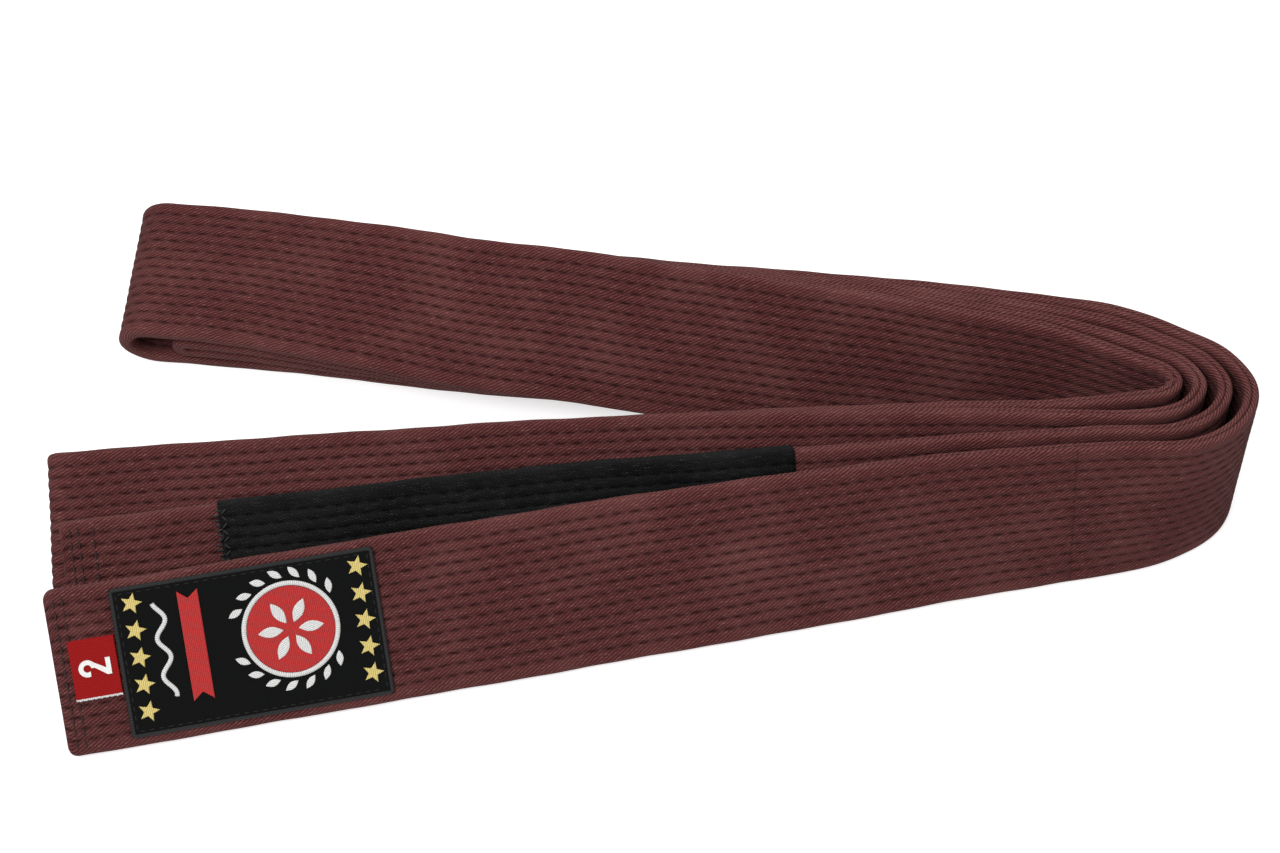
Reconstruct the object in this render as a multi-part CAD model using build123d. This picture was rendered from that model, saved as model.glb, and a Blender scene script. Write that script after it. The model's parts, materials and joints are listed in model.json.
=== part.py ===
from build123d import *
import math
import os

# Martial arts belt, folded into four passes that stand on the belt's long edge.
# Millimetres, +Z up. The floor is z = 0 and the origin is under the middle of the belt's box.
#
# The passes are numbered 1 to 4 from the inside of the right-hand bend outwards. Followed from
# the patch end, the belt runs: pass 4, outer left fold, pass 1, front fold, pass 2, inner left
# fold, pass 3, and ends at the rank-bar end.

# ---- driving dimensions ------------------------------------------------------------------
BELT_WIDTH = 45.0
BELT_THICKNESS = 4.3
EDGE_CHAMFER = 1.3          # the sewn long edges are rounded over
COVER_WALL = 0.6            # twill cover, one layer
SEAM_GAP = 0.3              # the cover's edges meet along the top long edge
PLY_COUNT = 3               # canvas plies that stiffen the belt
PLY_THICKNESS = 0.9
PLY_PITCH = 1.0
FIT_GAP = 0.1               # air between pieces laid on each other
TIP_HEM = 3.0               # the cover is turned in over this length at each end
ROW_COUNT = 13              # lengthwise rows of stitching
ROW_PITCH = 3.1

PATCH_START, PATCH_END = 17.0, 87.0       # along the belt from the tip
PATCH_LOW, PATCH_HIGH = 2.6, 43.0         # across the belt
PATCH_THICKNESS = 0.8
EMBROIDERY = 0.35                         # raised thread on the patch
LABEL_START, LABEL_LOW, LABEL_HIGH = 4.4, 15.3, 31.0
LABEL_THICKNESS = 0.5
LABEL_HINGE_GAP = 0.5                     # between the label's sewn edge and the patch
BAR_START, BAR_END = 42.5, 200.0          # rank bar, measured from the other tip
BAR_WALL = 0.5

ARM_STEP = 22.0             # spacing of sections along the arms
BEND_STEPS = {4: 6.5, 3: 5.5, 2: 4.2, 1: 2.6}    # and round the bend, closer where it is tight
FOLD_SECTIONS = 7           # sections in each half-turn fold
PATCH_END_CUT = 276.0       # where each free end starts to swing, from its own tip
BAR_END_CUT = 270.0
CUT_GAP = 0.4

# ---- where the belt lies -----------------------------------------------------------------
# Stations of the bottom edge: x, y, lean in degrees towards the left of travel, and a last value.
# On the two free ends the last value is how far the edge is lifted off the floor.
FREE_PASS_4 = [
    (-151, -120.5, 42, 0), (-61, -100.7, 42, 0), (-26, -93, 41, 0), (7, -85.5, 38, 0),
    (45, -77, 32, 0), (83, -67.7, 24, 0), (117, -60, 16, 0), (139, -55.2, 10, 0)]
FREE_PASS_3 = [
    (-152, -98, 45, 1.1), (-110, -91, 45, 1.1), (-67.5, -84.5, 44, 1.1), (-25, -78, 41, 1.1),
    (18, -72.5, 37, 1.0), (58.5, -66.3, 30, 0.6), (94.5, -59, 22.5, 0), (121.5, -53, 15, 0),
    (137, -49.4, 10.5, 0)]
# On the stacked stretches the last value is the pitch from one layer to the next.
FRONT_PAIR = [
    (-158.5, -72.5, 58, 4.8), (-117, -68.3, 57, 4.7), (-70, -64, 54, 4.7), (-22.5, -59.5, 50, 4.7),
    (20, -56, 43, 4.7), (58.5, -52.5, 34, 4.7), (90, -47.5, 24, 4.9), (112.5, -42.5, 15, 5.2)]
BACK_STACK = [
    (137, 2.2, -3, 5.2), (115, 3.2, -9, 4.8), (92, 3, -16, 4.7), (70, 3, -23, 4.7),
    (40.5, 3.8, -31, 4.7), (11, 6, -38, 4.7), (-18, 9.5, -45, 4.7), (-54, 13.2, -53, 4.8),
    (-90, 19, -62, 5.1), (-121.5, 23.4, -69, 5.5), (-137, 25.3, -70, 5.7), (-147.5, 26.3, -70.5, 5.8)]
# The bend is a half oval for each pass: apex x, centre y, half width.
BEND_START_X = 128.0
BEND_OVALS = {4: (170.4, -26.6, 28.4), 3: (163.3, -25.4, 22.6), 2: (156.4, -24.4, 17.0),
              1: (149.8, -23.4, 10.4)}
BEND_ANGLES = {-55: 3.5, -28: 1.2, 0: 0.0, 28: 0.0, 55: 0.0}    # station on the oval: lean
# Moves the middle of the belt's box onto the origin.
PLAN_SHIFT = (-2.97, 26.16)
FLOOR_DIP = 0.03            # the long edges are pressed flat on the floor by this much

HALF = BELT_THICKNESS / 2


# ---- the route ---------------------------------------------------------------------------
def rest_height(lean):
    """Height of the bottom edge's middle when a strip that leans this much touches the floor."""
    s, c = abs(math.sin(math.radians(lean))), math.cos(math.radians(lean))
    return max((HALF - EDGE_CHAMFER) * s, HALF * s - EDGE_CHAMFER * c)


def layer_points(stations, layer=None):
    """Points (x, y, z, lean) of a layer that lies `layer` pitches to the left of the stations.

    With no layer, the stations' last value is a lift off the floor.
    """
    points = []
    for i, (x, y, lean, value) in enumerate(stations):
        before, after = stations[max(i - 1, 0)], stations[min(i + 1, len(stations) - 1)]
        heading = math.atan2(after[1] - before[1], after[0] - before[0])
        tilt = math.radians(lean)
        side = 0.0 if layer is None else layer * value
        lift = value if layer is None else 0.0
        points.append((x - side * math.cos(tilt) * math.sin(heading),
                       y + side * math.cos(tilt) * math.cos(heading),
                       rest_height(lean) - side * math.sin(tilt) + lift, lean))
    return points


def bend_points(number):
    apex_x, centre_y, half_width = BEND_OVALS[number]
    reach = apex_x - BEND_START_X
    return [(BEND_START_X + reach * math.cos(math.radians(a)),
             centre_y + half_width * math.sin(math.radians(a)), rest_height(lean), lean)
            for a, lean in BEND_ANGLES.items()]


def mix(a, b, t):
    return tuple(p + (q - p) * t for p, q in zip(a, b))


def smooth(points, straight_start, bend_step):
    """A centripetal Catmull-Rom curve through the points; the first run may stay straight."""
    run_out = mix(points[-2], points[-1], 2.0)
    guide = list(points) + [run_out]
    if not straight_start:
        guide = [mix(points[1], points[0], 2.0)] + guide
    curve = [points[0]] if straight_start else []
    for p0, p1, p2, p3 in zip(guide, guide[1:], guide[2:], guide[3:]):
        k0 = 0.0
        k1 = k0 + math.sqrt(math.dist(p0[:3], p1[:3]))
        k2 = k1 + math.sqrt(math.dist(p1[:3], p2[:3]))
        k3 = k2 + math.sqrt(math.dist(p2[:3], p3[:3]))
        step = bend_step if min(p1[0], p2[0]) > BEND_START_X - 12 else ARM_STEP
        count = max(1, round(math.dist(p1[:3], p2[:3]) / step))
        for j in range(count):
            k = k1 + (k2 - k1) * j / count
            a1 = mix(p0, p1, (k - k0) / (k1 - k0))
            a2 = mix(p1, p2, (k - k1) / (k2 - k1))
            a3 = mix(p2, p3, (k - k2) / (k3 - k2))
            b1 = mix(a1, a2, (k - k0) / (k2 - k0))
            b2 = mix(a2, a3, (k - k1) / (k3 - k1))
            curve.append(mix(b1, b2, (k - k1) / (k2 - k1)))
    return curve + [points[-1]]


def pass_frames(number):
    """One pass from its left end in front to its left end behind: (bottom point, up the width)."""
    if number == 4:
        front = layer_points(FREE_PASS_4)
    elif number == 3:
        front = layer_points(FREE_PASS_3)
    else:
        front = layer_points(FRONT_PAIR, 1 - number)
    back = layer_points(BACK_STACK, 4 - number)
    if number in (2, 3):
        back = back[:-1]        # the inner left fold ends short of the outer one
    if number in (1, 2):
        back = back[1:]
    curve = smooth(front + bend_points(number) + back, number == 4, BEND_STEPS[number])
    frames = []
    for i, (x, y, z, lean) in enumerate(curve):
        before, after = curve[max(i - 1, 0)], curve[min(i + 1, len(curve) - 1)]
        heading = math.atan2(after[1] - before[1], after[0] - before[0])
        tilt = math.radians(lean)
        up = Vector(-math.sin(tilt) * math.sin(heading), math.sin(tilt) * math.cos(heading),
                    math.cos(tilt))
        frames.append((Vector(x + PLAN_SHIFT[0], y + PLAN_SHIFT[1], z - FLOOR_DIP), up))
    return frames


def fold_frames(last, first):
    """The half turn, to the left, that joins two layers of a stack."""
    centre = (last[0] + first[0]) * 0.5
    half = last[0] - centre
    up = (last[1] + first[1]).normalized()
    out = up.cross(half).normalized()
    if out.X > 0:
        out = out * -1
    frames = []
    for i in range(1, FOLD_SECTIONS):
        a = math.pi * i / FOLD_SECTIONS
        frames.append((centre + half * math.cos(a) + out * (half.length * math.sin(a)), up))
    return frames


def belt_frames():
    """Frames of the whole belt, from the patch end to the rank-bar end."""
    passes = {n: pass_frames(n) for n in (1, 2, 3, 4)}
    route = passes[4]
    route = route + fold_frames(route[-1], passes[1][-1]) + passes[1][::-1]
    route = route + fold_frames(route[-1], passes[2][0]) + passes[2]
    route = route + fold_frames(route[-1], passes[3][-1]) + passes[3][::-1]
    return route


class Route:
    """The belt's frames with their distances from the patch end."""

    def __init__(self, frames):
        self.frames = frames
        self.along = [0.0]
        for a, b in zip(frames, frames[1:]):
            self.along.append(self.along[-1] + (b[0] - a[0]).length)
        self.length = self.along[-1]

    def axes(self, i):
        """Bottom point, direction of travel, up the width and left across the thickness."""
        before, after = self.frames[max(i - 1, 0)], self.frames[min(i + 1, len(self.frames) - 1)]
        point, up = self.frames[i]
        travel = after[0] - before[0]
        travel = (travel - up * travel.dot(up)).normalized()
        return point, travel, up, up.cross(travel)

    def at(self, s):
        """The axes at a distance, between the two nearest frames."""
        i = max(k for k, d in enumerate(self.along) if d <= s + 1e-6)
        i = min(i, len(self.frames) - 2)
        t = (s - self.along[i]) / (self.along[i + 1] - self.along[i])
        a, b = self.axes(i), self.axes(i + 1)
        point, travel, up = (p * (1 - t) + q * t for p, q in zip(a[:3], b[:3]))
        up = up.normalized()
        travel = (travel - up * travel.dot(up)).normalized()
        return point, travel, up, up.cross(travel)

    def stretch(self, start, end):
        """All the sections from start to end, with a section at each end."""
        inner = [self.axes(i) for i, d in enumerate(self.along) if start + 0.5 < d < end - 0.5]
        return [self.at(start)] + inner + [self.at(end)]


# ---- cross sections: (left across the thickness, up the width) ----------------------------
def cover_section():
    """The twill cover: one strip wrapped round the plies, its edges meeting along the top."""
    h, w, c, g, t = HALF, BELT_WIDTH, EDGE_CHAMFER, SEAM_GAP / 2, COVER_WALL
    inside = h - t
    return [(g, w), (h - c, w), (h, w - c), (h, c), (h - c, 0), (c - h, 0), (-h, c), (-h, w - c),
            (c - h, w), (-g, w), (-g, w - c), (-inside, w - c), (-inside, c), (inside, c),
            (inside, w - c), (g, w - c)]


def hem_section():
    """The belt's closed outline, as at its turned-in tips."""
    h, w, c = HALF, BELT_WIDTH, EDGE_CHAMFER
    return [(h - c, w), (h, w - c), (h, c), (h - c, 0), (c - h, 0), (-h, c), (-h, w - c), (c - h, w)]


def ply_section(index):
    middle = (index - (PLY_COUNT - 1) / 2) * PLY_PITCH
    half = PLY_THICKNESS / 2
    low, high = EDGE_CHAMFER + FIT_GAP, BELT_WIDTH - EDGE_CHAMFER - FIT_GAP
    return [(middle - half, low), (middle + half, low), (middle + half, high), (middle - half, high)]


def bar_section():
    """The rank bar's sleeve, closed round the belt and meeting itself on the hidden face."""
    near, far = HALF + FIT_GAP, HALF + FIT_GAP + BAR_WALL
    c, w, g, m = EDGE_CHAMFER, BELT_WIDTH, SEAM_GAP, BELT_WIDTH / 2
    low, high = -FIT_GAP - BAR_WALL, w + FIT_GAP + BAR_WALL
    return [(-far, m + g), (-far, high - c), (c - far, high), (far - c, high), (far, high - c),
            (far, low + c), (far - c, low), (c - far, low), (-far, low + c), (-far, m - g),
            (-near, m - g), (-near, c - FIT_GAP), (c - near, -FIT_GAP), (near - c, -FIT_GAP),
            (near, c - FIT_GAP), (near, w - c + FIT_GAP), (near - c, w + FIT_GAP),
            (c - near, w + FIT_GAP), (-near, w - c + FIT_GAP), (-near, m + g)]


def strip(sections, outline):
    """A solid whose outline is carried through the sections."""
    wires = []
    for point, _, up, left in sections:
        wires.append(Wire.make_polygon([point + left * a + up * b for a, b in outline], close=True))
    return Solid.make_loft(wires, ruled=True)


def pressed_flat(solid):
    """The solid with everything below the floor taken off, so that its edge rests on a plane."""
    below = Pos(0, 0, -5) * Box(500, 400, 10)
    return (solid - below).solid()


# ---- pieces -------------------------------------------------------------------------------
def save(name, *solids):
    shape = solids[0] if len(solids) == 1 else Compound(children=list(solids))
    shape.label = name
    export_step(shape, f"parts/{name}.step")


def plies(sections, suffix):
    for index, place in enumerate(("inner", "middle", "outer")):
        save(f"core_ply_{place}_{suffix}", strip(sections, ply_section(index)))


def hemmed_cover(hem_sections, open_sections):
    return strip(hem_sections, hem_section()) + strip(open_sections, cover_section())


def face_plane(axes, side, height=0.0):
    """A plane on the right (-1) or left (+1) face: y is up the width and z out of the face."""
    point, travel, up, left = axes
    return Plane(origin=point + left * (side * (HALF + height)), x_dir=travel * -side, z_dir=left * side)


def stitch(length, width=0.5, height=0.25):
    """One visible stitch, lying along x on the plane z = 0."""
    return Pos(0, 0, height / 2) * Box(length, width, height)


def cross_stitches(axes, side, offsets, height=FIT_GAP):
    """Rows of stitches across the belt at the given distances from the axes."""
    plane = face_plane(axes, side, height)
    count = 11
    pitch = (BELT_WIDTH - 8) / (count - 1)
    return [plane * Pos(d, 4 + pitch * i, 0) * Rot(0, 0, 90) * stitch(2.4)
            for d in offsets for i in range(count)]


def star(radius):
    points = []
    for i in range(10):
        r = radius if i % 2 == 0 else radius * 0.42
        points.append((r * math.cos(math.pi * i / 5), r * math.sin(math.pi * i / 5)))
    return make_face(Polyline(*points, close=True))


def leaf(length, width):
    """A pointed leaf from the origin along +x."""
    upper = ThreePointArc((0, 0), (length / 2, width / 2), (length, 0))
    lower = ThreePointArc((length, 0), (length / 2, -width / 2), (0, 0))
    return make_face(Curve() + [upper, lower])


def raised(plane, sketch, height=EMBROIDERY):
    """Thread work that stands up from the patch."""
    solids = []
    for face in sketch.faces():
        solids.append(extrude(plane * face, amount=height, dir=plane.z_dir).solid())
    return solids


def numeral_two(height):
    """A plain numeral, its foot at y = 0."""
    r = height * 0.27
    bowl = Pos(0, height - r) * (Circle(r) - Circle(r * 0.45))
    bowl -= Pos(-r, height - 2 * r) * Rectangle(2 * r, 1.35 * r, align=(Align.CENTER, Align.CENTER))
    stem = make_face(Polyline((r * 0.98, height - r * 1.25), (r * 0.3, height - r * 1.45),
                              (-r, r * 0.5), (-r, 0), (r, 0), (r, r * 0.55), (-r * 0.2, r * 0.55),
                              close=True))
    return Sketch() + [bowl, stem]


os.makedirs("parts", exist_ok=True)
route = Route(belt_frames())
patch_cut = PATCH_END_CUT
bar_cut = route.length - BAR_END_CUT

# The middle of the belt, which rests where it lies.
save("cover_loops", pressed_flat(
    strip(route.stretch(patch_cut + CUT_GAP, bar_cut - CUT_GAP), cover_section())))
plies(route.stretch(patch_cut + CUT_GAP, bar_cut - CUT_GAP), "loops")

# The patch end.
save("cover_patch_end", pressed_flat(
    hemmed_cover(route.stretch(0, TIP_HEM), route.stretch(TIP_HEM, patch_cut))))
plies(route.stretch(TIP_HEM + FIT_GAP, patch_cut), "patch_end")

# The rank-bar end.
tip = route.length
save("cover_bar_end",
     pressed_flat(hemmed_cover(route.stretch(tip - TIP_HEM, tip), route.stretch(bar_cut, tip - TIP_HEM))))
plies(route.stretch(bar_cut, tip - TIP_HEM - FIT_GAP), "bar_end")
save("rank_bar", pressed_flat(strip(route.stretch(tip - BAR_END, tip - BAR_START), bar_section())))

# Stitches across the two tips, on the faces turned away from the stack.
save("end_stitches_patch_end", *cross_stitches(route.at(0), -1, (1.4, 3.4)))
save("end_stitches_bar_end", *cross_stitches(route.at(tip), 1, (2.6, 5.0, 9.0)))

# The patch, sewn flat to the patch end. Its plane has x along the belt and y up the width.
ground = face_plane(route.at(0), -1, FIT_GAP)
surface = face_plane(route.at(0), -1, FIT_GAP + PATCH_THICKNESS + 0.05)
patch_length, patch_height = PATCH_END - PATCH_START, PATCH_HIGH - PATCH_LOW
patch_middle = Pos((PATCH_START + PATCH_END) / 2, (PATCH_LOW + PATCH_HIGH) / 2)
outline = patch_middle * RectangleRounded(patch_length, patch_height, 1.2)
save("patch_base", *raised(ground, outline, PATCH_THICKNESS))
inner_outline = patch_middle * RectangleRounded(patch_length - 3.2, patch_height - 3.2, 0.6)
save("patch_border", *raised(surface, outline - inner_outline))
stars = [Pos(x, 9.2 + 7.3 * i) * star(2.9) for x in (22.4, 82.2) for i in range(5)]
save("patch_stars", *[piece for one in stars for piece in raised(surface, one)])

EMBLEM = Pos(62.5, 24.6)
save("patch_medallion", *raised(surface, EMBLEM * Circle(11.6)))
save("patch_medallion_rim", *raised(surface, EMBLEM * (Circle(13.0) - Circle(11.75))))
top = face_plane(route.at(0), -1, FIT_GAP + PATCH_THICKNESS + 0.1 + EMBROIDERY)
petals = [EMBLEM * Rot(0, 0, 60 * i) * Pos(2.0, 0) * leaf(6.6, 2.4) for i in range(6)]
save("patch_rosette", *[piece for one in petals for piece in raised(top, one)])
leaves = []
for side in (1, -1):
    for i in range(7):
        turn = side * (34 + 19 * i)
        leaves.append(EMBLEM * Rot(0, 0, turn) * Pos(14.0, 0) * Rot(0, 0, side * 58) * leaf(4.2, 1.7))
save("patch_laurel", *[piece for one in leaves for piece in raised(surface, one)])
banner = make_face(Polyline((34.4, 9.8), (37.1, 12.0), (39.9, 9.8), (39.9, 39.6), (37.1, 37.4),
                            (34.4, 39.6), close=True))
save("patch_banner", *raised(surface, banner))
wave = []
for edge, shift in ((1, 0.7), (-1, -0.7)):
    line = [(29.0 + 1.4 * math.sin(y * 0.62) + shift, y) for y in range(12, 38)]
    wave += line[::edge]
save("patch_flourish", *raised(surface, make_face(Polyline(*wave, close=True))))

# The size label, a loose tab sewn down only where it meets the patch.
label_end = PATCH_START - LABEL_HINGE_GAP
label_middle = Pos((LABEL_START + label_end) / 2, (LABEL_LOW + LABEL_HIGH) / 2)
label = label_middle * Rectangle(label_end - LABEL_START, LABEL_HIGH - LABEL_LOW)
save("size_label", *raised(ground, label, LABEL_THICKNESS))
label_top = face_plane(route.at(0), -1, FIT_GAP + LABEL_THICKNESS + 0.05)
numeral = label_middle * Rot(0, 0, 90) * Pos(0, -4.2) * numeral_two(8.4)
save("size_numeral", *raised(label_top, numeral, 0.2))
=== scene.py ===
"""Looks for a folded martial arts belt: stitched twill strap, rank bar, woven patch and size tab."""

import bpy
import bmesh
import json
import math
import numpy as np
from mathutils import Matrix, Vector

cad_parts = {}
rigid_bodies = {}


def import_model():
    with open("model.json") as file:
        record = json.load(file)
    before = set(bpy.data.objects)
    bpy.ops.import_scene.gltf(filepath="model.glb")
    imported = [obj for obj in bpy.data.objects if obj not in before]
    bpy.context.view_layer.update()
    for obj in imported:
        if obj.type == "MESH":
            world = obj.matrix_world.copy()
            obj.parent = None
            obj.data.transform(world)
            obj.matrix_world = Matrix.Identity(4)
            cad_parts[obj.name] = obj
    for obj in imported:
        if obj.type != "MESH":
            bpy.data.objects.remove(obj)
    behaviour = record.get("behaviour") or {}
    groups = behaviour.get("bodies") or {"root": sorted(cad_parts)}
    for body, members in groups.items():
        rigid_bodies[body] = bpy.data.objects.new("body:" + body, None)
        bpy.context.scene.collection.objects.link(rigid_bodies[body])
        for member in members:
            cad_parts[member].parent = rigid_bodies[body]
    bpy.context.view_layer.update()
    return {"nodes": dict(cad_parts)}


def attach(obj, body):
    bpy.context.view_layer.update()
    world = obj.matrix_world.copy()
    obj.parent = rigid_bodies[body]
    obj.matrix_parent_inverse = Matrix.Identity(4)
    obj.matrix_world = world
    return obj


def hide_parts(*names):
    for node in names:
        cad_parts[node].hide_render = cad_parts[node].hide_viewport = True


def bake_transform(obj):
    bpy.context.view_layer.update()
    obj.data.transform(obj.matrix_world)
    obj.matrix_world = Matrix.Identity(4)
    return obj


for thing in list(bpy.data.objects):
    bpy.data.objects.remove(thing)
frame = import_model()

# ---- sizes, in millimetres; meshes are scaled to metres when they are made ------------------
MM = 0.001
WIDTH = 45.0
THICKNESS = 4.3
HALF = THICKNESS / 2
CHAMFER = 1.3
ROW_COUNT = 13
ROW_PITCH = 3.05
ROW_FIRST = (WIDTH - ROW_PITCH * (ROW_COUNT - 1)) / 2
STITCH = 4.8
ROW_STAGGER = 0.37
SHIFT = np.array([-2.97, 26.16, -0.03])
PATCH = (17.0, 87.0, 2.6, 43.0)
EMBLEM = (62.5, 24.6)
BAR = (42.5, 200.0)
SLEEVE = 0.42               # how far the bar's cloth stands off the strap
PATCH_END_CUT = 276.0
BAR_END_CUT = 270.0
BEND_ZONE = 68.0            # length of cloth at each hinge; the two points worked out from it are not used
FLOOR_LEVEL = -0.0002       # in metres
SURROUND = 0.62             # brightness of the floor's glow and of the world

# ---- the belt's route: the same stations as the frame's solids -------------------------------
FREE_PASS_4 = [
    (-151, -120.5, 42, 0), (-61, -100.7, 42, 0), (-26, -93, 41, 0), (7, -85.5, 38, 0),
    (45, -77, 32, 0), (83, -67.7, 24, 0), (117, -60, 16, 0), (139, -55.2, 10, 0)]
FREE_PASS_3 = [
    (-152, -98, 45, 1.1), (-110, -91, 45, 1.1), (-67.5, -84.5, 44, 1.1), (-25, -78, 41, 1.1),
    (18, -72.5, 37, 1.0), (58.5, -66.3, 30, 0.6), (94.5, -59, 22.5, 0), (121.5, -53, 15, 0),
    (137, -49.4, 10.5, 0)]
FRONT_PAIR = [
    (-158.5, -72.5, 58, 4.8), (-117, -68.3, 57, 4.7), (-70, -64, 54, 4.7), (-22.5, -59.5, 50, 4.7),
    (20, -56, 43, 4.7), (58.5, -52.5, 34, 4.7), (90, -47.5, 24, 4.9), (112.5, -42.5, 15, 5.2)]
BACK_STACK = [
    (137, 2.2, -3, 5.2), (115, 3.2, -9, 4.8), (92, 3, -16, 4.7), (70, 3, -23, 4.7),
    (40.5, 3.8, -31, 4.7), (11, 6, -38, 4.7), (-18, 9.5, -45, 4.7), (-54, 13.2, -53, 4.8),
    (-90, 19, -62, 5.1), (-121.5, 23.4, -69, 5.5), (-137, 25.3, -70, 5.7), (-147.5, 26.3, -70.5, 5.8)]
BEND_START_X = 128.0
BEND_OVALS = {4: (170.4, -26.6, 28.4), 3: (163.3, -25.4, 22.6), 2: (156.4, -24.4, 17.0),
              1: (149.8, -23.4, 10.4)}
BEND_ANGLES = {-55: 3.5, -28: 1.2, 0: 0.0, 28: 0.0, 55: 0.0}    # station on the oval: lean


def rest_height(lean):
    s, c = abs(math.sin(math.radians(lean))), math.cos(math.radians(lean))
    return max((HALF - CHAMFER) * s, HALF * s - CHAMFER * c)


def layer_points(stations, layer=None):
    points = []
    for i, (x, y, lean, value) in enumerate(stations):
        before, after = stations[max(i - 1, 0)], stations[min(i + 1, len(stations) - 1)]
        heading = math.atan2(after[1] - before[1], after[0] - before[0])
        tilt = math.radians(lean)
        side = 0.0 if layer is None else layer * value
        lift = value if layer is None else 0.0
        points.append((x - side * math.cos(tilt) * math.sin(heading),
                       y + side * math.cos(tilt) * math.cos(heading),
                       rest_height(lean) - side * math.sin(tilt) + lift, lean))
    return points


def bend_points(number):
    apex_x, centre_y, half_width = BEND_OVALS[number]
    reach = apex_x - BEND_START_X
    return [(BEND_START_X + reach * math.cos(math.radians(a)),
             centre_y + half_width * math.sin(math.radians(a)), rest_height(lean), lean)
            for a, lean in BEND_ANGLES.items()]


def smooth(points, straight_start, step=1.0):
    """A centripetal Catmull-Rom curve through the points."""
    pts = [np.array(p, float) for p in points]
    guide = pts + [2 * pts[-1] - pts[-2]]
    curve = []
    if straight_start:
        count = int(np.linalg.norm(pts[1][:3] - pts[0][:3]) / step)
        curve += [pts[0] + (pts[1] - pts[0]) * j / count for j in range(count)]
    else:
        guide = [2 * pts[0] - pts[1]] + guide
    for p0, p1, p2, p3 in zip(guide, guide[1:], guide[2:], guide[3:]):
        k1 = math.sqrt(np.linalg.norm((p1 - p0)[:3]))
        k2 = k1 + math.sqrt(np.linalg.norm((p2 - p1)[:3]))
        k3 = k2 + math.sqrt(np.linalg.norm((p3 - p2)[:3]))
        count = max(2, int(np.linalg.norm((p2 - p1)[:3]) / step))
        for k in np.linspace(k1, k2, count, endpoint=False):
            a1 = p0 + (p1 - p0) * k / k1
            a2 = p1 + (p2 - p1) * (k - k1) / (k2 - k1)
            a3 = p2 + (p3 - p2) * (k - k2) / (k3 - k2)
            b1 = a1 + (a2 - a1) * k / k2
            b2 = a2 + (a3 - a2) * (k - k1) / (k3 - k1)
            curve.append(b1 + (b2 - b1) * (k - k1) / (k2 - k1))
    return np.array(curve + [pts[-1]])


def pass_frames(number):
    if number == 4:
        front = layer_points(FREE_PASS_4)
    elif number == 3:
        front = layer_points(FREE_PASS_3)
    else:
        front = layer_points(FRONT_PAIR, 1 - number)
    back = layer_points(BACK_STACK, 4 - number)
    if number in (2, 3):
        back = back[:-1]
    if number in (1, 2):
        back = back[1:]
    curve = smooth(front + bend_points(number) + back, number == 4)
    going = np.gradient(curve[:, :2], axis=0)
    heading = np.arctan2(going[:, 1], going[:, 0])
    tilt = np.radians(curve[:, 3])
    up = np.stack([-np.sin(tilt) * np.sin(heading), np.sin(tilt) * np.cos(heading), np.cos(tilt)], 1)
    return curve[:, :3] + SHIFT, up


def fold_frames(last, first):
    """The half turn that joins two layers of a stack."""
    centre = (last[0] + first[0]) / 2
    half = last[0] - centre
    up = last[1] + first[1]
    up = up / np.linalg.norm(up)
    out = np.cross(up, half)
    out = out / np.linalg.norm(out)
    out = -out if out[0] > 0 else out
    a = np.linspace(0, math.pi, 26)[1:-1, None]
    points = centre + half * np.cos(a) + out * np.linalg.norm(half) * np.sin(a)
    return points, np.repeat(up[None], len(points), 0)


def belt_frames():
    passes = {n: pass_frames(n) for n in (1, 2, 3, 4)}
    back = {n: (p[::-1], u[::-1]) for n, (p, u) in passes.items()}
    parts = [passes[4]]
    for following in (back[1], passes[2], back[3]):
        last = (parts[-1][0][-1], parts[-1][1][-1])
        first = (following[0][0], following[1][0])
        parts += [fold_frames(last, first), following]
    points = np.concatenate([p for p, _ in parts])
    ups = np.concatenate([u for _, u in parts])
    return points, ups


POINTS, UPS = belt_frames()
ALONG = np.concatenate([[0], np.cumsum(np.linalg.norm(np.diff(POINTS, axis=0), axis=1))])
LENGTH = ALONG[-1]


def axes_at(s):
    """Bottom point, travel, up the width and left across the thickness at distances s."""
    s = np.atleast_1d(np.asarray(s, float))

    def sample(table, where):
        return np.stack([np.interp(where, ALONG, table[:, i]) for i in range(3)], 1)

    up = sample(UPS, s)
    up /= np.linalg.norm(up, axis=1, keepdims=True)
    travel = sample(POINTS, np.minimum(s + 0.7, LENGTH)) - sample(POINTS, np.maximum(s - 0.7, 0))
    travel -= up * (travel * up).sum(1, keepdims=True)
    travel /= np.linalg.norm(travel, axis=1, keepdims=True)
    return sample(POINTS, s), travel, up, np.cross(up, travel)


def tight(s):
    """True where the cloth doubles back on itself."""
    a = axes_at(s)[1]
    b = axes_at(np.minimum(s + 1.5, LENGTH))[1]
    return (a * b).sum(1) < 0.97


def stations(start, end, step=1.2, fine=0.4):
    """Distances along the belt, closer together where it doubles back and at its tips."""
    base = np.linspace(start, end, int((end - start) / fine) + 1)
    keep, last = [base[0]], base[0]
    near = tight(base) | tight(np.maximum(base - 1.5, 0)) | (base < 3) | (base > LENGTH - 3)
    for s, close in zip(base[1:-1], near[1:-1]):
        if s - last >= (fine if close else step) - 1e-6:
            keep.append(s)
            last = s
    if end - keep[-1] < 0.3:
        keep.pop()
    return np.array(keep + [end])


# ---- meshes ---------------------------------------------------------------------------------
def make_object(name, verts, faces, uvs, material, smooth_shading=True, flat_faces=()):
    """A mesh object from points in millimetres; uvs is {layer: one (u, v) per face corner}."""
    mesh = bpy.data.meshes.new(name)
    mesh.from_pydata((np.asarray(verts) * MM).tolist(), [], faces)
    mesh.polygons.foreach_set("use_smooth", [smooth_shading] * len(mesh.polygons))
    for f in flat_faces:
        mesh.polygons[f].use_smooth = False
    for layer, values in uvs.items():
        mesh.uv_layers.new(name=layer).data.foreach_set("uv", np.asarray(values, np.float32).ravel())
    mesh.update()
    obj = bpy.data.objects.new(name, mesh)
    bpy.context.scene.collection.objects.link(obj)
    if material:
        mesh.materials.append(material)
    return obj


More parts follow.
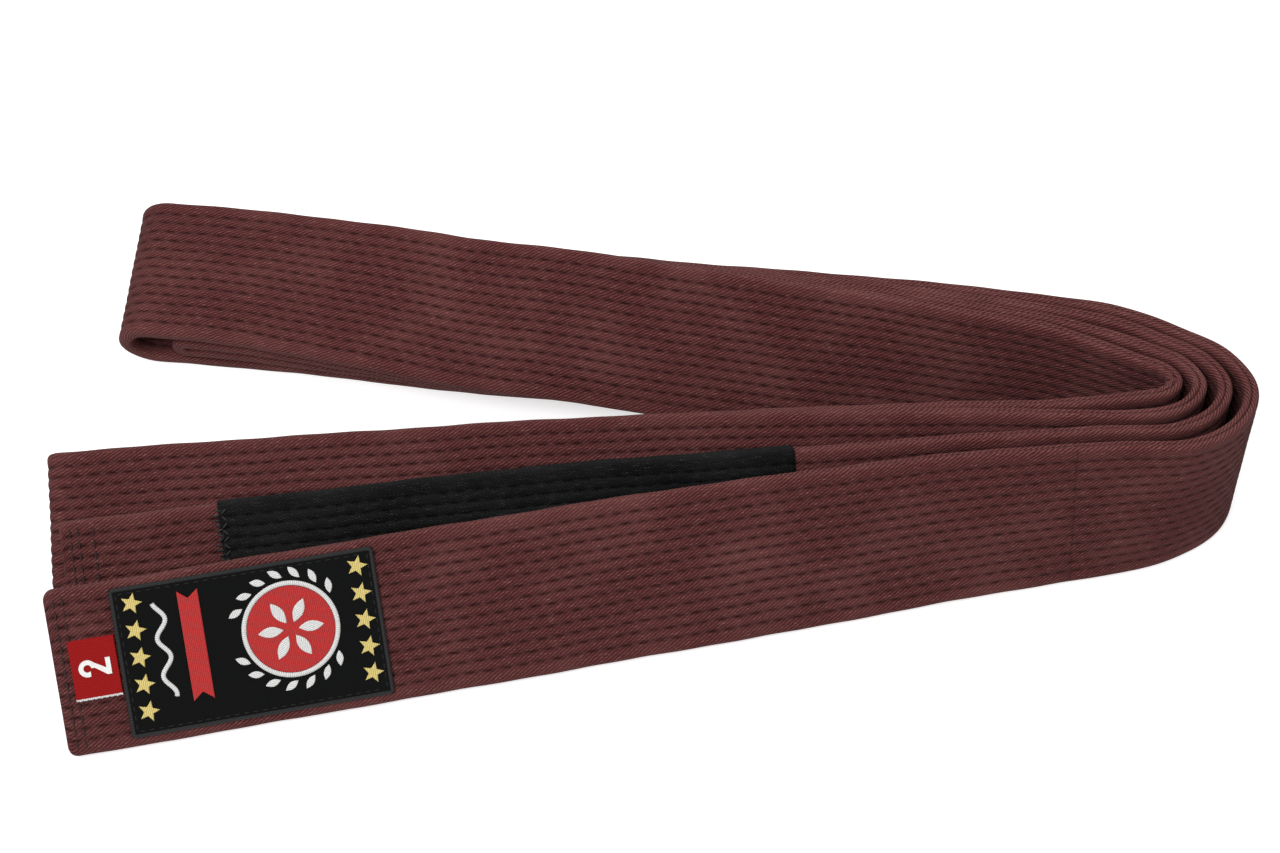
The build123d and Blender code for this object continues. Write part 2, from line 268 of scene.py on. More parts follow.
def strap_profile(bead=1.7, notch=0.9):
    """Points round the strap, from the middle of its lower edge: (across, up, row distance, row, side)."""
    up = np.arange(ROW_COUNT * 4 + 1) * ROW_PITCH / 4 + ROW_FIRST - ROW_PITCH / 2
    row = np.clip(((up - ROW_FIRST) / ROW_PITCH + 0.5).astype(int), 0, ROW_COUNT - 1)
    gap = up - (ROW_FIRST + row * ROW_PITCH)
    corner = np.radians([0, 16, 32, 48, 64, 80])
    top = [(0.42 + (HALF - 0.45) * math.cos(a) ** 0.8, WIDTH - bead + bead * math.sin(a)) for a in corner]
    face = [(HALF - 0.05, u, g, r, 1) for u, g, r in zip(up, gap, row)]
    rim = [(w, u, 9, 0, 0) for w, u in top] + [(0.3, WIDTH - 0.22, 9, 0, 0), (0, WIDTH - notch, 9, 0, 0)]
    half = [(0.0, 0.0, 9, 0, 0)] + [(w, WIDTH - u, 9, 0, 0) for w, u in top[::-1]] + face + rim
    mirrored = [(-w, u, g, r, -1 if k else 0) for w, u, g, r, k in half[1:-1]][::-1]
    return np.array(half + mirrored, float)


def ripple(s, up, phase=0.0):
    """The slight unevenness of quilted cloth, in millimetres."""
    return (0.05 * np.sin(s * 0.21 + up * 0.35 + phase) + 0.04 * np.sin(s * 0.083 - up * 0.22 + 1.7 + phase)
            + 0.03 * np.sin(s * 0.47 + up * 0.11 + 0.6))


def strap(name, start, end, material, profile, dimples=True, tips=(False, False), creases=()):
    """The cloth from start to end along the route, closed at both ends."""
    s = stations(start, end)
    point, _, up, left = axes_at(s)
    w, h, gap, row, side = profile.T
    across = np.repeat(w[None], len(s), 0)
    height = np.repeat(h[None], len(s), 0)
    if dimples:
        along = (s[:, None] / STITCH + row[None] * ROW_STAGGER) % 1 - 0.5
        hole = np.exp(-(gap[None] / 0.6) ** 2 - (along * STITCH / 1.2) ** 2)
        groove = 0.24 * np.exp(-(gap / 0.8) ** 2)
        across = across - side[None] * (groove[None] + 0.10 * hole)
        across = across + np.sign(side[None]) * 0.5 * ripple(s[:, None], h[None], side[None])
    height = height + 0.10 * np.sin(s[:, None] * 0.13 + 1.1) + 0.06 * np.sin(s[:, None] * 0.37)
    height = np.maximum(height, np.minimum(h, 0.05)[None])
    for centre, spread, amount, inner in creases:
        wave = np.sin((s - centre) * 1.75 + 0.5) * np.exp(-((s - centre) / spread) ** 2)
        lift = 0.6 + 0.4 * np.sin(h * 0.16 + 0.8)
        across = across + amount * wave[:, None] * lift[None] * (np.sign(w)[None] == inner)
    for tip, distance in ((tips[0], s - s[0]), (tips[1], s[-1] - s)):
        if tip:
            t = np.clip(distance / 1.3, 0, 1)
            squeeze = np.sqrt(1 - (1 - t) ** 2) * 0.45 + 0.55
            across = across * squeeze[:, None]
            d = np.clip(distance / 2.6, 0, 1)
            inset = 2.6 * (1 - np.sqrt(1 - (1 - d) ** 2 * 0.97))
            height = WIDTH / 2 + (height - WIDTH / 2) * (1 - inset / (WIDTH / 2))[:, None]
    verts = (point[:, None] + left[:, None] * across[..., None] + up[:, None] * height[..., None])
    k, j = verts.shape[:2]
    girth = np.concatenate([[0], np.cumsum(np.hypot(np.diff(w), np.diff(h)))])
    total = girth[-1] + math.hypot(w[0] - w[-1], h[0] - h[-1])
    a = (np.arange(k - 1)[:, None] * j + np.arange(j)[None]).ravel()
    b = (np.arange(k - 1)[:, None] * j + (np.arange(j)[None] + 1) % j).ravel()
    faces = np.stack([a, b, b + j, a + j], 1)
    s0, s1 = np.repeat(s[:-1], j), np.repeat(s[1:], j)
    g0, g1 = np.tile(girth, k - 1), np.tile(np.append(girth[1:], total), k - 1)
    h0, h1 = np.tile(h, k - 1), np.tile(np.append(h[1:], h[0]), k - 1)
    cloth = np.stack([s0, g0, s0, g1, s1, g1, s1, g0], 1).reshape(-1, 2)
    rows = np.stack([s0, h0, s0, h1, s1, h1, s1, h0], 1).reshape(-1, 2)
    caps = [list(range(j))[::-1], [(k - 1) * j + i for i in range(j)]]
    cap_uv = np.concatenate([np.stack([np.full(j, s[0]), h[::-1]], 1), np.stack([np.full(j, s[-1]), h], 1)])
    flats = [len(faces) + i for i in (0, 1) if not tips[i]]
    return make_object(name, verts.reshape(-1, 3), faces.tolist() + caps,
                       {"cloth": np.concatenate([cloth, cap_uv]), "rows": np.concatenate([rows, cap_uv])},
                       material, flat_faces=flats)


def face_matrix(s, side):
    """From (along to the right, up, out of the face) in mm to the row frame in mm, at a place on the belt."""
    point, travel, up, left = (v[0] for v in axes_at(s))
    m = np.eye(4)
    m[:3, 0], m[:3, 1], m[:3, 2] = -side * travel, up, side * left
    m[:3, 3] = point + side * HALF * left
    return m


def placed(points, matrix):
    points = np.asarray(points, float)
    return points @ matrix[:3, :3].T + matrix[:3, 3]


def slab(name, outlines, low, high, material, matrix, rounding=0.12, turns=None):
    """Flat shapes with softened top edges, raised from low to high; turns is each one's thread angle."""
    bm = bmesh.new()
    grain = bm.faces.layers.float.new("grain")
    for i, outline in enumerate(outlines):
        verts = [bm.verts.new((x, y, low)) for x, y in outline]
        face = bm.faces.new(verts)
        face.normal_update()
        if face.normal.z < 0:
            face.normal_flip()
        face[grain] = turns[i] if turns else 0.0
        lifted = bmesh.ops.extrude_face_region(bm, geom=[face])["geom"]
        top = next(g for g in lifted if isinstance(g, bmesh.types.BMFace))
        for g in lifted:
            if isinstance(g, bmesh.types.BMVert):
                g.co.z = high - rounding
        for out, rise in ((0.35, 0.65), (0.65, 0.35)):
            bmesh.ops.inset_individual(bm, faces=[top], thickness=rounding * out, depth=rounding * rise,
                                       use_even_offset=True)
    bmesh.ops.recalc_face_normals(bm, faces=bm.faces)
    for f in bm.faces:
        for other in f.verts[0].link_faces:
            if f[grain] == 0.0 and other[grain] != 0.0:
                f[grain] = other[grain]
    bm.verts.index_update()
    verts = np.array([v.co for v in bm.verts])
    faces = [[v.index for v in f.verts] for f in bm.faces]
    turn = [f[grain] for f in bm.faces]
    bm.free()
    uv = []
    for f, t in zip(faces, turn):
        c, s = math.cos(t), math.sin(t)
        uv += [(verts[v][0] * c + verts[v][1] * s, verts[v][1] * c - verts[v][0] * s) for v in f]
    return make_object(name, placed(verts, matrix), faces, {"cloth": uv}, material, smooth_shading=False)


def cord_ring(name, path, radius, flatness, material, matrix, closed=True, sides=10):
    """A flattened round thread along a path of (x, y, z)."""
    path = np.asarray(path, float)
    n = len(path)
    ahead, behind = np.roll(path, -1, 0), np.roll(path, 1, 0)
    if not closed:
        ahead[-1], behind[0] = path[-1], path[0]
    going = ahead - behind
    going /= np.linalg.norm(going, axis=1, keepdims=True)
    side = np.stack([-going[:, 1], going[:, 0], np.zeros(n)], 1)
    side /= np.linalg.norm(side, axis=1, keepdims=True)
    a = np.linspace(0, 2 * math.pi, sides, endpoint=False)
    ring = (side[:, None] * np.cos(a)[None, :, None] + np.array([0, 0, flatness]) * np.sin(a)[None, :, None])
    verts = (path[:, None] + ring * radius).reshape(-1, 3)
    count = n if closed else n - 1
    along = np.concatenate([[0], np.cumsum(np.linalg.norm(ahead - path, axis=1))])
    faces, uv = [], []
    for i in range(count):
        for j in range(sides):
            i2, j2 = (i + 1) % n, (j + 1) % sides
            faces.append([i * sides + j, i2 * sides + j, i2 * sides + j2, i * sides + j2])
            u0, u1, v0, v1 = along[i], along[i + 1], j * radius * 0.7, (j + 1) * radius * 0.7
            uv += [(u0, v0), (u1, v0), (u1, v1), (u0, v1)]
    if not closed:
        for ends in (list(range(sides))[::-1], [(n - 1) * sides + j for j in range(sides)]):
            faces.append(ends)
            uv += [(0, 0)] * sides
    return make_object(name, placed(verts, matrix), faces, {"cloth": uv}, material)


def thread_stitches(name, seats, length, width, height, material, matrix):
    """Short raised stitches: each seat is (x, y, angle) on the face."""
    rings, sides = 7, 8
    verts, faces, uv = [], [], []
    for x, y, angle in seats:
        first = len(verts)
        for i in range(rings):
            t = -1 + 2 * i / (rings - 1)
            r = max(0.12, (1 - t ** 4)) ** 0.5
            for j in range(sides):
                a = 2 * math.pi * j / sides
                along, side = t * length / 2, math.cos(a) * width / 2 * r
                up = math.sin(a) * height / 2 * r - 0.12 * t * t
                verts.append((x + along * math.cos(angle) - side * math.sin(angle),
                              y + along * math.sin(angle) + side * math.cos(angle), height * 0.3 + up))
        for i in range(rings - 1):
            for j in range(sides):
                k = (j + 1) % sides
                faces.append([first + i * sides + j, first + (i + 1) * sides + j,
                              first + (i + 1) * sides + k, first + i * sides + k])
                uv += [(i, j), (i + 1, j), (i + 1, j + 1), (i, j + 1)]
        for ends in ([first + j for j in range(sides)][::-1],
                     [first + (rings - 1) * sides + j for j in range(sides)]):
            faces.append(ends)
            uv += [(0, 0)] * sides
    return make_object(name, placed(verts, matrix), faces, {"cloth": uv}, material)


# ---- materials ------------------------------------------------------------------------------
class Shader:
    """A small node-graph builder."""

    def __init__(self, name, roughness, sheen=0.0, specular=0.3):
        self.mat = bpy.data.materials.new(name)
        self.mat.use_nodes = True
        self.tree = self.mat.node_tree
        self.bsdf = self.tree.nodes["Principled BSDF"]
        self.bsdf.inputs["Roughness"].default_value = roughness
        self.bsdf.inputs["Specular IOR Level"].default_value = specular
        self.bsdf.inputs["Sheen Weight"].default_value = sheen
        self.bsdf.inputs["Sheen Roughness"].default_value = 0.45

    def link(self, value, socket):
        if isinstance(value, (int, float)):
            socket.default_value = value
        elif isinstance(value, tuple):
            socket.default_value = (*value, 1.0) if len(value) == 3 else value
        else:
            self.tree.links.new(value, socket)

    def math(self, op, a, b=0.0, c=0.0, clamp=False):
        node = self.tree.nodes.new("ShaderNodeMath")
        node.operation = op
        node.use_clamp = clamp
        for value, socket in zip((a, b, c), node.inputs):
            self.link(value, socket)
        return node.outputs[0]

    def add(self, a, b):
        return self.math("ADD", a, b)

    def sub(self, a, b):
        return self.math("SUBTRACT", a, b)

    def mul(self, a, b):
        return self.math("MULTIPLY", a, b)

    def bell(self, x, width):
        """1 at x = 0, falling to 0 over the width."""
        scaled = self.math("DIVIDE", x, width)
        return self.math("EXPONENT", self.mul(self.mul(scaled, scaled), -1.0))

    def uv(self, layer):
        node = self.tree.nodes.new("ShaderNodeUVMap")
        node.uv_map = layer
        split = self.tree.nodes.new("ShaderNodeSeparateXYZ")
        self.tree.links.new(node.outputs[0], split.inputs[0])
        return node.outputs[0], split.outputs[0], split.outputs[1]

    def noise(self, scale, detail=2.0, stretch=(1, 1, 1), vector=None, rough=0.5):
        node = self.tree.nodes.new("ShaderNodeTexNoise")
        mapping = self.tree.nodes.new("ShaderNodeMapping")
        mapping.inputs["Scale"].default_value = stretch
        if vector is None:
            coord = self.tree.nodes.new("ShaderNodeTexCoord")
            vector = coord.outputs["Object"]
        self.tree.links.new(vector, mapping.inputs[0])
        self.tree.links.new(mapping.outputs[0], node.inputs["Vector"])
        node.inputs["Scale"].default_value = scale
        node.inputs["Detail"].default_value = detail
        node.inputs["Roughness"].default_value = rough
        return node.outputs["Fac"]

    def mix(self, fac, a, b):
        node = self.tree.nodes.new("ShaderNodeMix")
        node.data_type = "RGBA"
        node.clamp_factor = True
        self.link(fac, node.inputs[0])
        self.link(a, node.inputs[6])
        self.link(b, node.inputs[7])
        return node.outputs[2]

    def finish(self, colour, height, distance=MM, strength=1.0):
        self.link(colour, self.bsdf.inputs["Base Color"])
        bump = self.tree.nodes.new("ShaderNodeBump")
        bump.inputs["Distance"].default_value = distance
        bump.inputs["Strength"].default_value = strength
        self.link(height, bump.inputs["Height"])
        self.tree.links.new(bump.outputs[0], self.bsdf.inputs["Normal"])
        return self.mat


def twill(sh, across, girth, pitch, slant, noise):
    """0 to 1 over each diagonal rib of the weave."""
    c, s = math.cos(math.radians(slant)), math.sin(math.radians(slant))
    phase = sh.sub(sh.mul(girth, c / pitch), sh.mul(across, s / pitch))
    phase = sh.add(phase, sh.mul(noise, 0.9))
    return sh.math("MULTIPLY_ADD", sh.math("SINE", sh.mul(phase, 2 * math.pi)), 0.5, 0.5)


def broad_rows(sh, vector):
    """Stitches pull in harder in some places than in others."""
    return sh.math("SUBTRACT", sh.noise(0.16, 2.0, stretch=(1, 1.6, 1), vector=vector), 0.25, clamp=True)


def strap_cloth(name, dark, base, light, worn_and_highlight, pitch=0.82, slant=-33, specular=0.05, roughness=0.9):
    """Quilted twill: diagonal ribs, rows of lockstitch with puckered holes, and worn edges that also carry a
    painted highlight.
    """
    sh = Shader(name, roughness, sheen=0.02, specular=specular)
    vector, s, girth = sh.uv("cloth")
    _, _, up = sh.uv("rows")
    grain = sh.noise(0.9, 3.0, vector=vector)
    fine = sh.noise(2.6, 2.0, vector=vector, rough=0.7)
    broad = sh.noise(0.045, 2.0, vector=vector)
    fibre = sh.noise(1.2, 2.0, stretch=(0.25, 2.2, 1), vector=vector)
    rib = twill(sh, s, girth, pitch, slant, grain)
    row = sh.math("DIVIDE", sh.sub(up, ROW_FIRST - ROW_PITCH / 2), ROW_PITCH)
    inside = sh.mul(sh.math("GREATER_THAN", row, 0.0), sh.math("LESS_THAN", row, float(ROW_COUNT)))
    number = sh.math("FLOOR", row)
    gap = sh.mul(sh.sub(sh.math("FRACT", row), 0.5), ROW_PITCH)
    start = sh.add(sh.math("DIVIDE", s, STITCH), sh.mul(number, ROW_STAGGER))
    along = sh.mul(sh.sub(sh.math("FRACT", start), 0.5), STITCH)
    depth = sh.add(0.55, sh.mul(broad_rows(sh, vector), 1.2))
    wander = sh.mul(sh.sub(grain, 0.5), 0.5)
    hole = sh.mul(sh.mul(sh.bell(sh.add(gap, wander), 0.36), sh.bell(along, 1.8)), inside)
    hole = sh.mul(hole, depth)
    groove = sh.mul(sh.bell(gap, 0.75), inside)
    bare = sh.sub(1.0, sh.math("MINIMUM", sh.mul(hole, 1.6), 1.0))
    thread = sh.mul(sh.mul(sh.bell(gap, 0.3), inside), bare)
    weave = sh.add(sh.mul(rib, 0.85), sh.mul(sh.sub(fine, 0.5), 0.7))
    colour = sh.mix(weave, dark, base)
    glint = sh.mul(sh.math("SUBTRACT", fibre, 0.55, clamp=True), sh.mul(rib, 4.0))
    colour = sh.mix(sh.math("MINIMUM", glint, 0.8), colour, light)
    colour = sh.mix(sh.mul(sh.math("SUBTRACT", broad, 0.42, clamp=True), 0.5), colour, light)
    # Painted shade darkens the stitch-row grooves.
    colour = sh.mix(sh.mul(groove, 0.45), colour, dark)
    # Painted sheen lightens the stitch thread.
    colour = sh.mix(sh.mul(thread, 0.12), colour, light)
    shadow = tuple(v * 0.3 for v in dark)
    colour = sh.mix(sh.mul(hole, 0.78), colour, shadow)
    seam = sh.bell(sh.sub(girth, SEAM_GIRTH), 0.34)
    colour = sh.mix(sh.mul(seam, 0.8), colour, shadow)
    rim = sh.math("ABSOLUTE", sh.sub(up, WIDTH / 2))
    # Lighter along both long edges: wear together with a painted highlight where light catches the edges.
    rubbed_and_highlight = sh.mul(sh.math("SUBTRACT", rim, WIDTH / 2 - 1.2, clamp=True), sh.mul(rib, 0.6))
    colour = sh.mix(sh.mul(rubbed_and_highlight, 0.35), colour, worn_and_highlight)
    height = sh.add(sh.mul(rib, 0.16), sh.mul(fine, 0.12))
    height = sh.add(height, sh.mul(grain, 0.10))
    height = sh.sub(height, sh.mul(hole, 0.30))
    height = sh.sub(height, sh.mul(sh.add(groove, seam), 0.14))
    height = sh.add(height, sh.mul(thread, 0.06))
    return sh.finish(colour, height)


def plain_twill(name, dark, base, pitch, slant, sheen=0.0, depth=0.12):
    sh = Shader(name, 0.8, sheen=sheen, specular=0.06)
    vector, s, girth = sh.uv("cloth")
    grain = sh.noise(1.1, 3.0, vector=vector)
    fine = sh.noise(3.2, 2.0, vector=vector, rough=0.7)
    rib = twill(sh, s, girth, pitch, slant, grain)
    colour = sh.mix(sh.add(sh.mul(rib, 0.6), sh.mul(fine, 0.5)), dark, base)
    return sh.finish(colour, sh.add(sh.mul(rib, depth), sh.mul(fine, 0.07)))


def satin(name, dark, base, pitch=0.42, slant=90, sheen=0.1, roughness=0.5):
    """Embroidery: close parallel threads."""
    sh = Shader(name, roughness, sheen=sheen, specular=0.45)
    vector, s, girth = sh.uv("cloth")
    grain = sh.noise(2.0, 2.0, vector=vector)
    rib = twill(sh, s, girth, pitch, slant, sh.mul(grain, 0.5))
    colour = sh.mix(sh.add(sh.mul(rib, 0.65), sh.mul(grain, 0.4)), dark, base)
    return sh.finish(colour, sh.add(sh.mul(rib, 0.12), sh.mul(grain, 0.05)))


PROFILE = strap_profile()
AROUND = np.concatenate([[0], np.cumsum(np.hypot(np.diff(PROFILE[:, 0]), np.diff(PROFILE[:, 1])))])
SEAM_GIRTH = float(AROUND[np.argmin(np.abs(PROFILE[:, 0]) + 9 * (PROFILE[:, 1] < WIDTH / 2))])
BROWN = strap_cloth("belt_twill", (0.045, 0.0122, 0.0125), (0.150, 0.0455, 0.0440), (0.30, 0.130, 0.118),
                    (0.260, 0.115, 0.105))
THREAD = satin("belt_thread", (0.016, 0.005, 0.005), (0.062, 0.021, 0.021), 0.8, 60, sheen=0.0,
               roughness=0.85)
BLACK = strap_cloth("bar_twill", (0.0010, 0.0010, 0.0011), (0.0040, 0.0040, 0.0043), (0.050, 0.050, 0.053),
                    (0.010, 0.010, 0.0105), pitch=0.68, slant=38, specular=0.10, roughness=0.6)
FRAY = satin("bar_fray", (0.003, 0.003, 0.003), (0.016, 0.016, 0.017), 0.6, 0, roughness=0.8)
PATCH_CLOTH = plain_twill("patch_weave", (0.0018, 0.0019, 0.0020), (0.0068, 0.0070, 0.0074), 0.55, 40,
                          depth=0.07)
MERROW = satin("patch_merrow", (0.0008, 0.0008, 0.0009), (0.0050, 0.0050, 0.0053), 0.7, 68, sheen=0.0,
               roughness=0.7)
GOLD = satin("gold_thread", (0.40, 0.28, 0.05), (0.88, 0.74, 0.27), 0.5, 90, roughness=0.35)
RED = satin("red_thread", (0.26, 0.004, 0.004), (0.60, 0.014, 0.012), 0.5, 90)
WHITE = satin("white_thread", (0.42, 0.42, 0.41), (0.88, 0.88, 0.86), 0.5, 90)
LABEL = plain_twill("label_ribbon", (0.17, 0.004, 0.004), (0.36, 0.012, 0.012), 0.5, 0, depth=0.04)

# ---- the strap ------------------------------------------------------------------------------
SEAM = 3.0                  # how far each free end's cloth and the loops' cloth overlap
bar_cut = LENGTH - BAR_END_CUT
first_pass = (ALONG > 645) & (ALONG < 1280)
inner_apex = ALONG[first_pass][np.argmax(POINTS[first_pass, 0])]

loops = strap("strap_loops", PATCH_END_CUT + SEAM, bar_cut - SEAM, BROWN, PROFILE,
              creases=[(inner_apex, 11.0, 0.58, -1.0)])
patch_end = strap("strap_patch_end", 0.0, PATCH_END_CUT + SEAM, BROWN, PROFILE, tips=(True, False))
bar_end = strap("strap_bar_end", bar_cut - SEAM, LENGTH, BROWN, PROFILE, tips=(False, True))

for piece, nodes in ((loops, "loops"), (patch_end, "patch_end"), (bar_end, "bar_end")):
    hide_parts(f"cover_{nodes}", *[f"core_ply_{p}_{nodes}" for p in ("inner", "middle", "outer")])
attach(loops, "loops")
for piece, body, near, far in (
        (patch_end, "patch_end", PATCH_END_CUT - BEND_ZONE, PATCH_END_CUT + SEAM - 0.5),
        (bar_end, "bar_end", bar_cut + BEND_ZONE, bar_cut - SEAM + 0.5)):
    start, end = (Vector(axes_at(v)[0][0] * MM) for v in (near, far))
    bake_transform(piece)

# ---- the rank bar ---------------------------------------------------------------------------
bar_profile = PROFILE.copy()
bar_profile[:, 0] = np.sign(bar_profile[:, 0]) * (np.abs(bar_profile[:, 0]) + SLEEVE)
bar_profile[:, 1] = WIDTH / 2 + (bar_profile[:, 1] - WIDTH / 2) * (WIDTH / 2 + SLEEVE) / (WIDTH / 2)
bar = strap("rank_bar_sleeve", LENGTH - BAR[1], LENGTH - BAR[0], BLACK, bar_profile)
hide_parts("rank_bar")
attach(bar, "bar_end")

# ---- stitches across the tips -----------------------------------------------------------------
for name, s, side, lines, node, body in (
        ("tip_stitches_patch_end", 0.0, -1, (2.6, 4.9), "end_stitches_patch_end", "patch_end"),
        ("tip_stitches_bar_end", LENGTH, 1, (2.8, 5.0, 9.0), "end_stitches_bar_end", "bar_end")):
    seats = [(x, 3.4 + 3.18 * i + 0.25 * math.sin(7 * i + x), math.pi / 2 + 0.06 * math.sin(5 * i))
             for x in lines for i in range(13)]
    stitches = thread_stitches(name, seats, 2.4, 0.5, 0.3, THREAD, face_matrix(s, side))
    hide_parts(node)
    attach(stitches, body)

# ---- zigzag and loose ends where the bar stops ----------------------------------------------------
BAR_FACE = face_matrix(LENGTH - BAR[0], 1)
zigzag = [(1.5, 2.6 + 1.9 * i, 0.75 if i % 2 else -0.75) for i in range(22)]
tufts = [(-0.3 + 0.35 * math.sin(5.1 * i), 2.4 + 1.35 * i, 0.4 * math.sin(3.7 * i)) for i in range(31)]
tuft_piece = thread_stitches("bar_end_tufts", zigzag + tufts, 1.9, 0.5, 1.3, FRAY, BAR_FACE)
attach(tuft_piece, "bar_end")

# ---- the patch --------------------------------------------------------------------------------
ON_FACE = face_matrix(0.0, -1)
TOP = 0.95                  # top of the patch cloth above the strap's face


def rounded(x0, x1, y0, y1, r, steps=5):
    corners = ((x1 - r, y0 + r, -90), (x1 - r, y1 - r, 0), (x0 + r, y1 - r, 90), (x0 + r, y0 + r, 180))
    return [(cx + r * math.cos(math.radians(a + 90 * i / steps)),
             cy + r * math.sin(math.radians(a + 90 * i / steps)))
            for cx, cy, a in corners for i in range(steps + 1)]


def circle(cx, cy, r, count=64):
    return [(cx + r * math.cos(2 * math.pi * i / count), cy + r * math.sin(2 * math.pi * i / count))
            for i in range(count)]


def star(cx, cy, radius):
    return [(cx + r * math.cos(math.pi * i / 5), cy + r * math.sin(math.pi * i / 5))
            for i in range(10) for r in (radius if i % 2 == 0 else radius * 0.44,)]


def leaf(cx, cy, start, turn, direction, length, width):
    """A pointed leaf that starts at a radius from the centre."""
    x0, y0 = cx + start * math.cos(turn), cy + start * math.sin(turn)
    points = []
    for side in (1, -1):
        for i in range(9):
            t = i / 8 if side > 0 else 1 - i / 8
            if side < 0 and i in (0, 8):
                continue
            w = side * width / 2 * math.sin(math.pi * t) ** 0.9
            points.append((x0 + t * length * math.cos(direction) - w * math.sin(direction),
                           y0 + t * length * math.sin(direction) + w * math.cos(direction)))
    return points


def patch_piece(obj, node, body="patch_end"):
    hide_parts(node)
    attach(obj, body)
    return obj


patch_piece(slab("patch_cloth", [rounded(*PATCH, 0.9)], 0.05, TOP, PATCH_CLOTH, ON_FACE, 0.3),
            "patch_base")
edge = rounded(PATCH[0] + 0.55, PATCH[1] - 0.55, PATCH[2] + 0.55, PATCH[3] - 0.55, 0.7)
dense = []
for (xa, ya), (xb, yb) in zip(edge, edge[1:] + edge[:1]):
    count = max(1, int(math.hypot(xb - xa, yb - ya) / 0.8))
    dense += [(xa + (xb - xa) * i / count, ya + (yb - ya) * i / count, 0.62) for i in range(count)]
patch_piece(cord_ring("patch_merrowed_edge", dense, 0.62, 0.8, MERROW, ON_FACE), "patch_border")
ON_PATCH = ON_FACE.copy()
ON_PATCH[:3, 3] += TOP * ON_FACE[:3, 2]
left_x, right_x, low_y, high_y = PATCH[0] + 1.7, PATCH[1] - 1.7, PATCH[2] + 1.7, PATCH[3] - 1.7
sewn = [(x, y, 0.0) for x in np.arange(left_x + 1.2, right_x - 0.6, 2.5) for y in (low_y, high_y)]
sewn += [(x, y, math.pi / 2) for y in np.arange(low_y + 1.2, high_y - 0.6, 2.5) for x in (left_x, right_x)]
sewn_piece = thread_stitches("patch_sewn_line", sewn, 1.5, 0.35, 0.22, MERROW, ON_PATCH)
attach(sewn_piece, "patch_end")
stars = [star(x, 9.2 + 7.3 * i, 2.95) for x in (22.4, 82.2) for i in range(5)]
patch_piece(slab("patch_stars_gold", stars, TOP - 0.05, TOP + 0.4, GOLD, ON_FACE, 0.22),
            "patch_stars")
patch_piece(slab("patch_disc", [circle(*EMBLEM, 11.7)], TOP - 0.05, TOP + 0.32, RED, ON_FACE, 0.2),
            "patch_medallion")
ring = [(*p, TOP + 0.12) for p in circle(*EMBLEM, 12.4, 96)]
patch_piece(cord_ring("patch_disc_rim", ring, 0.66, 0.62, WHITE, ON_FACE),
            "patch_medallion_rim")
petals = [leaf(*EMBLEM, 2.0, math.radians(60 * i), math.radians(60 * i), 6.8, 2.9) for i in range(6)]
patch_piece(slab("patch_petals", petals, TOP + 0.28, TOP + 0.68, WHITE, ON_FACE, 0.25,
                 turns=[math.radians(60 * i + 55) for i in range(6)]), "patch_rosette")
leaves, slants = [], []
for side in (1, -1):
    for i in range(7):
        turn = math.radians(side * (34 + 19 * i))
        leaves.append(leaf(*EMBLEM, 14.0, turn, turn + math.radians(side * 58), 4.3, 1.9))
        slants.append(turn)
patch_piece(slab("patch_leaves", leaves, TOP - 0.05, TOP + 0.36, WHITE, ON_FACE, 0.2, turns=slants),
            "patch_laurel")
banner = [(34.4, 9.8), (37.1, 12.0), (39.9, 9.8), (39.9, 39.6), (37.1, 37.4), (34.4, 39.6)]
patch_piece(slab("patch_blank_banner", [banner], TOP - 0.05, TOP + 0.36, RED, ON_FACE, 0.2), "patch_banner")
wave = [(29.0 + 1.4 * math.sin(y * 0.62), y, TOP + 0.1) for y in np.linspace(12, 37.5, 90)]
patch_piece(cord_ring("patch_wavy_line", wave, 0.62, 0.6, WHITE, ON_FACE, closed=False), "patch_flourish")

# ---- the size tab -----------------------------------------------------------------------------
tab = [(4.4, 15.3), (16.5, 15.3), (16.5, 31.0), (4.4, 31.0)]
patch_piece(slab("size_tab", [tab], 0.1, 0.6, LABEL, ON_FACE, 0.12), "size_label",
            "size_label")
hem = [(4.4 + 12.1 * i / 24, 15.05 + 0.12 * math.sin(i * 2.3), 0.36) for i in range(25)]
hem_piece = cord_ring("size_tab_cut_edge", hem, 0.34, 0.7, WHITE, ON_FACE, closed=False)
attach(hem_piece, "size_label")
number = frame["nodes"]["size_numeral"]
number.data.materials.clear()

sh = Shader("numeral_thread", 0.6, specular=0.4)
spot = sh.noise(900.0, 2.0)
number.data.materials.append(sh.finish(sh.mix(spot, (0.62, 0.62, 0.6), (0.9, 0.9, 0.88)), spot, 0.0001))

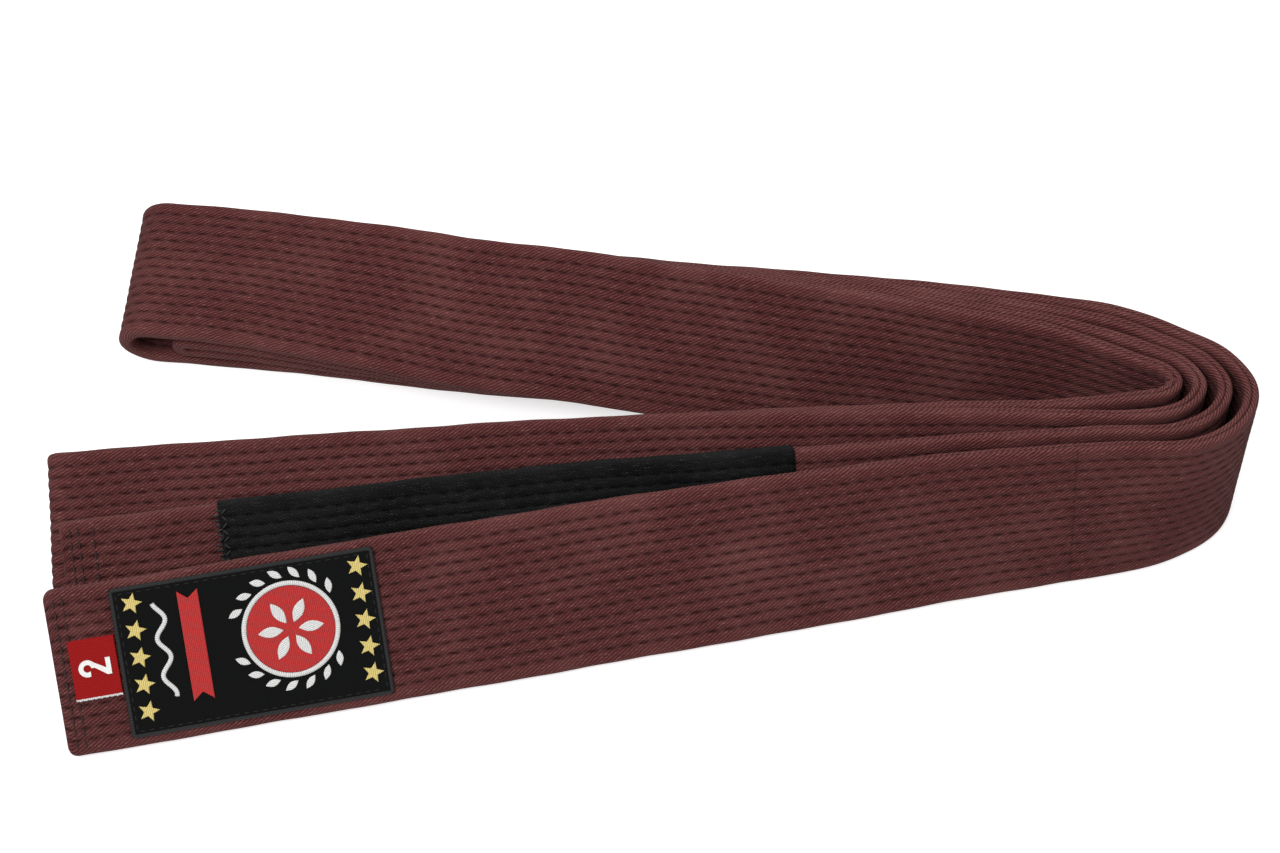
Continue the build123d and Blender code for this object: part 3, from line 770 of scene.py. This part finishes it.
# ---- floor, light and camera --------------------------------------------------------------------
floor_mesh = bpy.data.meshes.new("floor")
bm = bmesh.new()
bmesh.ops.create_grid(bm, x_segments=1, y_segments=1, size=4.0)
bm.to_mesh(floor_mesh)
bm.free()
floor = bpy.data.objects.new("floor", floor_mesh)
floor.location.z = FLOOR_LEVEL
bpy.context.scene.collection.objects.link(floor)
white = bpy.data.materials.new("floor_white")
white.use_nodes = True
tree = white.node_tree
tree.nodes.clear()
output = tree.nodes.new("ShaderNodeOutputMaterial")
glow = tree.nodes.new("ShaderNodeEmission")
glow.inputs["Color"].default_value = (1, 1, 1, 1)
glow.inputs["Strength"].default_value = SURROUND
matt = tree.nodes.new("ShaderNodeBsdfDiffuse")
matt.inputs["Color"].default_value = (0.62, 0.62, 0.62, 1)
both = tree.nodes.new("ShaderNodeAddShader")
tree.links.new(glow.outputs[0], both.inputs[0])
tree.links.new(matt.outputs[0], both.inputs[1])
tree.links.new(both.outputs[0], output.inputs[0])
floor_mesh.materials.append(white)
floor.visible_diffuse = False

world = bpy.data.worlds.new("studio")
bpy.context.scene.world = world
world.use_nodes = True
world.node_tree.nodes["Background"].inputs["Color"].default_value = (1, 1, 1, 1)
world.node_tree.nodes["Background"].inputs["Strength"].default_value = SURROUND


def area_light(name, place, aim, size, power):
    light = bpy.data.lights.new(name, "AREA")
    light.shape = "DISK"
    light.size = size
    light.energy = power
    obj = bpy.data.objects.new(name, light)
    obj.location = place
    obj.rotation_euler = (Vector(aim) - Vector(place)).to_track_quat("-Z", "Y").to_euler()
    bpy.context.scene.collection.objects.link(obj)


area_light("key", (-0.6, -0.8, 1.3), (0, 0, 0), 0.8, 16.0)
area_light("rim", (0.3, 0.8, 1.2), (0, 0, 0), 0.6, 4.0)

camera_data = bpy.data.cameras.new("camera")
camera_data.sensor_width = 36.0
camera_data.lens = 66.1
camera_data.clip_start = 0.01
camera = bpy.data.objects.new("camera", camera_data)
camera.location = (0.0 + SHIFT[0] * MM, -0.4811 + SHIFT[1] * MM, 0.5159)
camera.rotation_euler = (math.radians(43.0), 0, 0)
bpy.context.scene.collection.objects.link(camera)
bpy.context.scene.camera = camera
bpy.context.scene.view_settings.view_transform = "Standard"
